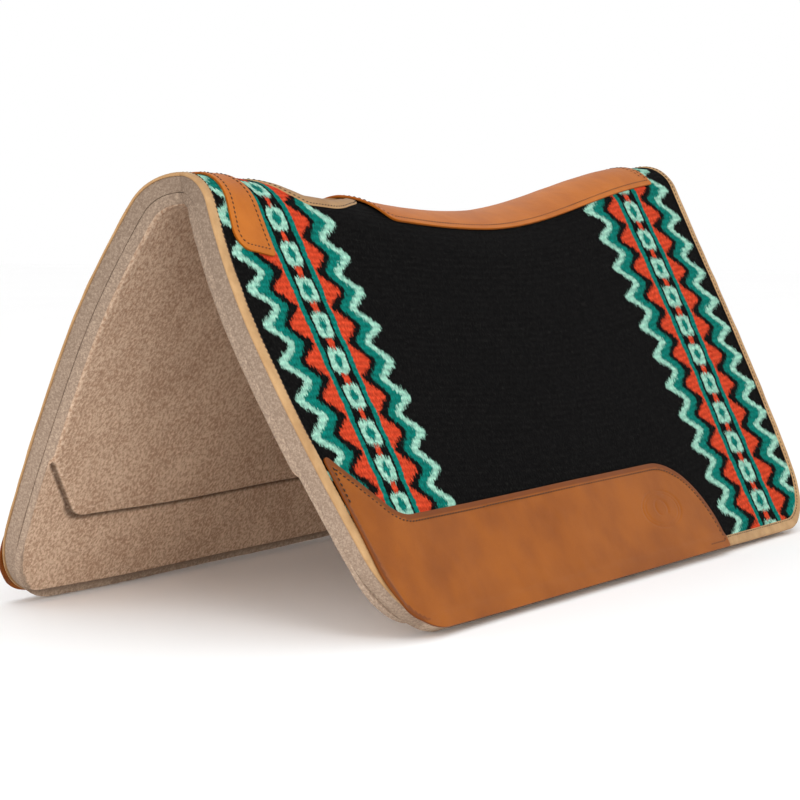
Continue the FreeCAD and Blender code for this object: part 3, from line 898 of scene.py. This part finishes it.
# Corners as (across, y, radius): across is the slant for the wear leather, and s for the two others.
WEAR_CORNERS = [(288, -388.0, 4), (440.7, -376, 62), (440.7, 177.5, 2), (349.5, 177.5, 82),
                (349.5, -321.5, 45)]
WITHER_CORNERS = [(-92, -334, 4), (-84, -380, 15), (0, -352, 0), (84, -380, 15),
                  (92, -334, 4), (0, -325, 0)]
SPINE_CORNERS = [(0, -155, 6), (46, -145, 22), (47, 20, 120), (41, 200, 120), (37, 361, 2), (-37, 361, 2),
                 (-41, 200, 120), (-47, 20, 120), (-46, -145, 22)]
MARK_AT, MARK_SIZE = (392.0, 84.0), (34.0, 17.0)        # middle as (slant, y); half length and height
WEAR_SEAM, WITHER_SEAM, SPINE_SEAM = 6.0, 5.5, 5.0      # from a leather's edge to its stitches
FRONT_SLOPE = 0.98                      # the front edge isn't quite square to the ridge


def lift_over_binding(s, y):
    """How far a leather rises where it laps over the edge binding."""
    t = np.abs(s) / (EDGE_SLANT - ARC_SAVING * ridge_radius(y))
    gap = np.minimum(EDGE_SLANT - slant(s, y), (y - front_edge(t)) * FRONT_SLOPE)
    return (BINDING_RISE + 0.15) * smooth(BINDING_WIDTH + 4 - gap, 0, 6)


def mark_groove(s, y):
    """A plain pressed oval with a horseshoe in it, as depth."""
    a = (y - MARK_AT[1]) / MARK_SIZE[0]
    b = (slant(s, y) - MARK_AT[0]) / MARK_SIZE[1]
    radius = np.hypot(a, b)
    line = np.exp(-((radius - 1.0) * 18) ** 2) + 0.8 * np.exp(-((radius - 0.86) * 26) ** 2)
    shoe = np.hypot(a * 2.0, (b + 0.05) * 1.35)
    arch = np.exp(-((shoe - 0.62) * 9) ** 2) * (1 - smooth(b, 0.28, 0.36))
    return 0.55 * np.clip(line + arch, 0, 1.2)


def wear_leather():
    def top(s, y):
        groove = 0.35 * np.exp(-((slant_gap(s, y, WEAR_RING) - WEAR_SEAM) / 1.1) ** 2)
        at = np.column_stack([s, y, y * 0])
        wrinkle = 0.28 * lumps(at, 38) + 0.12 * lumps(at, 11)
        return -LEATHER - lift_over_binding(s, y) + groove + wrinkle + mark_groove(s, y)

    def bottom(s, y):
        return -0.06 - lift_over_binding(s, y)

    def edge(s, y):
        rim = 1 - smooth(slant_gap(s, y, WEAR_RING), 4.6, 5.8)
        return 0.7 * rim * smooth(slant(s, y), 435, 430)
    around = np.stack(np.meshgrid(np.arange(MARK_AT[0] - 22, MARK_AT[0] + 22, 0.9),
                                  np.arange(MARK_AT[1] - 40, MARK_AT[1] + 40, 0.9), indexing="ij"), -1)
    return slab(WEAR_CORNERS, from_slant, top, bottom, (0.7, 0.5), (2.6, 2.6), step=2.0,
                extra=around.reshape(-1, 2), edge_note=edge)


WEAR_RING = inset_ring(WEAR_CORNERS, step=6.0)
WITHER_RING = inset_ring(WITHER_CORNERS, step=4.0)
SPINE_RING = inset_ring(SPINE_CORNERS, step=6.0)


def ridge_leather(corners, ring, seam):
    """A leather laid over the ridge, with a groove where it is sewn."""
    def top(s, y):
        inward = distance_to(np.column_stack([s, y]), ring)
        groove = 0.3 * np.exp(-(inward - seam) ** 2)
        unevenness = 0.12 * lumps(np.column_stack([s + 200, y, y * 0]), 24)
        return -LEATHER + groove - lift_over_slot(s, y) + unevenness

    def bottom(s, y):
        return -0.06 - lift_over_slot(s, y)
    return slab(corners, as_drawn, top, bottom, (0.7, 0.5), (2.4, 2.8), step=2.0)


def lift_over_slot(s, y):
    """How far the spine leather rises over the slot binding's rear end."""
    return 1.5 * smooth(-y, 136, 148) * smooth(y, -200, -190)


def both_sides(points, faces, notes):
    """The same half mesh and its mirror image as one mesh."""
    flipped = [[i + len(points) for i in face[::-1]] for face in faces]
    return np.vstack([points, points * [-1, 1, 1]]), faces + flipped, np.vstack([notes, notes])


def slot_binding_half():
    """A band round the slot, grown outwards from its edge."""
    corners = half_corners()
    section = [(-0.5, 4.0), (-0.6, 1.5), (0.2, -0.4), (2.5, -1.2), (6, -1.35), (10, -1.1), (11.6, -0.6),
               (12, -0.05), (6, 0.02), (1.2, 0.1), (0.4, 1.6), (0.3, 4.1)][::-1]
    rings, depths = trim_of(corners, section, 4, len(corners) - 1, 1.2)
    return sweep([shaped(ring) for ring in rings], depths)


# ---------------------------------------------------------------- assembly

def fold_point(distance, side):
    """The point at that distance down the slope on one side, in metres."""
    return (side * distance * SIN * MM, 0.0, (APEX - distance * COS) * MM)


def bend(piece, side_name):
    side = 1 if side_name == "left" else -1
    fold_point(FOLD_START, side)
    fold_point(FOLD_END, side)
    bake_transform(piece)


PAD = half_corners()


def on_binding(s, y):
    return np.full(len(s), -BINDING_RISE - 0.1)


def on_leather(s, y):
    return -LEATHER - 0.02 - lift_over_binding(s, y) - lift_over_slot(s, y) - 0.05


def binding_stitching():
    """The stitches round the binding, but not where the wear leather covers it."""
    seam = shaped(outline_path(PAD, BINDING_WIDTH - 1.6, 0, 3))
    shown = seam[(slant(*seam.T) < 288) | (seam[:, 1] > 182)]
    return stitches([shown[shown[:, 1] < 0], shown[shown[:, 1] > 0]], FINE_STITCH, on_binding)


def runs_of(path, wanted):
    """The unbroken stretches of a closed path where wanted holds, which isn't everywhere."""
    shift = int(np.argmin(wanted))
    path, wanted = np.roll(path, -shift, 0), np.roll(wanted, -shift)
    runs, run = [], []
    for point, use in zip(path, wanted):
        if use:
            run.append(point)
        elif run:
            runs.append(np.array(run))
            run = []
    if run:
        runs.append(np.array(run))
    return [r for r in runs if len(r) > 3]


def wear_stitching():
    """The wear leather's stitches, which leave out its lower side and its lower front."""
    seam = from_slant(inset_ring(WEAR_CORNERS, WEAR_SEAM, step=1.5))
    down = slant(*seam.T)
    lower_side = (down > 424) & (seam[:, 1] < 140)
    lower_front = (down > 334) & (seam[:, 1] < -355)
    return stitches(runs_of(seam, ~(lower_side | lower_front)), WEAR_STITCH, on_leather)


def closed_seam(corners, inset):
    """A seam all the way round a leather, back to its first point."""
    seam = inset_ring(corners, inset, step=1.5)
    return np.vstack([seam, seam[:1]])


PATTERN = shaped(inset_ring(PAD))

BLANKET_MESH, CORE_MESH, LINER_MESH, INSERT_MESH = blanket_half(), core_half(), liner_half(), insert_half()
BINDING_MESH, BINDING_STITCH_MESH = edge_binding_half(), binding_stitching()
WEAR_MESH, WEAR_STITCH_MESH = wear_leather(), wear_stitching()

for side in ("left", "right"):
    flip = side == "right"
    soft = {
        "woven_blanket_" + side: (BLANKET_MESH, WOOL, "woven_wool", ("crown_blanket", side + "_blanket")),
        "felt_core_" + side: (CORE_MESH, GREY_FELT, "grey_felt", ("crown_felt_core", side + "_felt_core")),
        "felt_liner_" + side: (LINER_MESH, BROWN_FELT, "brown_felt",
                               ("crown_felt_liner", side + "_felt_liner")),
        "shock_insert_" + side: (INSERT_MESH, FOAM, "foam", ("crown_insert", side + "_insert")),
        "edge_binding_" + side: (BINDING_MESH, GOLD, "binding_leather",
                                 ("crown_front_binding", "crown_rear_binding", side + "_edge_binding")),
        "binding_stitching_" + side: (BINDING_STITCH_MESH, THREAD, "brown_thread",
                                      ("crown_binding_stitching", side + "_binding_stitching")),
    }
    for name, (mesh, material, slot, nodes) in soft.items():
        piece = new_piece(name, *mesh, material, mirrored=flip)
        bend(piece, side)
        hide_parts(*nodes)
        slot in ("grey_felt", "brown_felt", "foam")
        slot == "woven_wool"
    stiff = {
        "wear_leather_" + side: (WEAR_MESH, WEAR, "tan_leather", side + "_wear_leather"),
        "wear_stitching_" + side: (WEAR_STITCH_MESH, THREAD, "brown_thread", side + "_wear_stitching"),
    }
    for name, (mesh, material, slot, node) in stiff.items():
        piece = new_piece(name, *mesh, material, mirrored=flip)
        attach(piece, side + "_flap")
        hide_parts(node)

SPINE_END = np.array([(-30.0, 349.0), (30.0, 349.0)])   # a second seam across the rear end
SLOT_SEAM = shaped(outline_path(PAD, 10.2, 4, len(PAD) - 1, 1.2))
WITHER_MESH = ridge_leather(WITHER_CORNERS, WITHER_RING, WITHER_SEAM)
SPINE_MESH = ridge_leather(SPINE_CORNERS, SPINE_RING, SPINE_SEAM)
WITHER_STITCH_MESH = stitches([closed_seam(WITHER_CORNERS, WITHER_SEAM)], FINE_STITCH, on_leather)
SPINE_STITCH_MESH = stitches([closed_seam(SPINE_CORNERS, SPINE_SEAM), SPINE_END], SPINE_STITCH, on_leather)
SLOT_STITCH_MESH = both_sides(*stitches([SLOT_SEAM], FINE_STITCH, on_binding))
top_pieces = {
    "wither_leather": (WITHER_MESH, TAN, "tan_leather"),
    "spine_leather": (SPINE_MESH, TAN, "tan_leather"),
    "slot_binding": (both_sides(*slot_binding_half()), GOLD, "binding_leather"),
    "wither_stitching": (WITHER_STITCH_MESH, THREAD, "brown_thread"),
    "spine_stitching": (SPINE_STITCH_MESH, THREAD, "brown_thread"),
    "slot_stitching": (SLOT_STITCH_MESH, THREAD, "brown_thread"),
}
for node, (mesh, material, slot) in top_pieces.items():
    piece = new_piece(node + "_piece", *mesh, material)
    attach(piece, "crown")
    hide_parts(node)


# ---------------------------------------------------------------- studio

LAMPS = {                               # where in metres, size in metres, watts
    "key_light": ((2.2, -2.0, 2.4), 1.4, 26),
    "front_light": ((1.0, -3.0, 0.45), 1.6, 44),
}
LAMP_TARGET = Vector((0, 0, 0.15))

CAMERA_AZIMUTH, CAMERA_ELEVATION, CAMERA_ROLL = (math.radians(a) for a in (31.14, 3.97, -0.59))
CAMERA_TARGET = Vector((0, FRAME_SHIFT * MM, 0.1758))
CAMERA_DISTANCE = 2.377                 # metres
FOCAL_LENGTH, SENSOR_WIDTH = 120.7, 36.0
LENS_SHIFT = (-0.0455, -0.0411)


def studio():
    """A white floor, a white surround and two lamps."""
    bpy.ops.mesh.primitive_plane_add(size=14, location=(0, 0, CAD_BOX[0].z))
    floor = bpy.context.object
    floor.name = "studio_floor"
    f = Finish("studio floor", 0.9)
    f.shader.inputs["Specular IOR Level"].default_value = 0.1
    floor.data.materials.append(f.paint(f.mix(f.noise(400, 1.0), srgb(252, 252, 252), srgb(255, 255, 255))))
    world = bpy.data.worlds.new("studio")
    world.use_nodes = True
    world.node_tree.nodes["Background"].inputs["Color"].default_value = (1, 1, 1, 1)
    world.node_tree.nodes["Background"].inputs["Strength"].default_value = 1.0
    bpy.context.scene.world = world
    for name, (where, size, power) in LAMPS.items():
        lamp = bpy.data.lights.new(name, "AREA")
        lamp.size, lamp.energy = size, power
        holder = bpy.data.objects.new(name, lamp)
        holder.location = where
        holder.rotation_mode = "QUATERNION"
        holder.rotation_quaternion = (LAMP_TARGET - Vector(where)).to_track_quat("-Z", "Y")
        bpy.context.scene.collection.objects.link(holder)


def camera():
    """A long lens, a little above the pad, a third of the way round to its left side."""
    level_part = math.cos(CAMERA_ELEVATION)
    back = Vector((math.sin(CAMERA_AZIMUTH) * level_part, -math.cos(CAMERA_AZIMUTH) * level_part,
                   math.sin(CAMERA_ELEVATION)))
    lens = bpy.data.cameras.new("photo_camera")
    lens.lens, lens.sensor_width = FOCAL_LENGTH, SENSOR_WIDTH
    lens.shift_x, lens.shift_y = LENS_SHIFT
    lens.clip_end = 50
    seen = bpy.data.objects.new("photo_camera", lens)
    seen.rotation_mode = "QUATERNION"
    seen.location = CAMERA_TARGET + back * CAMERA_DISTANCE
    tilt = Matrix.Rotation(CAMERA_ROLL, 3, "Z").to_quaternion()
    seen.rotation_quaternion = (-back).to_track_quat("-Z", "Y") @ tilt
    bpy.context.scene.collection.objects.link(seen)
    bpy.context.scene.camera = seen


studio()
camera()
bpy.context.scene.view_settings.view_transform = "Standard"
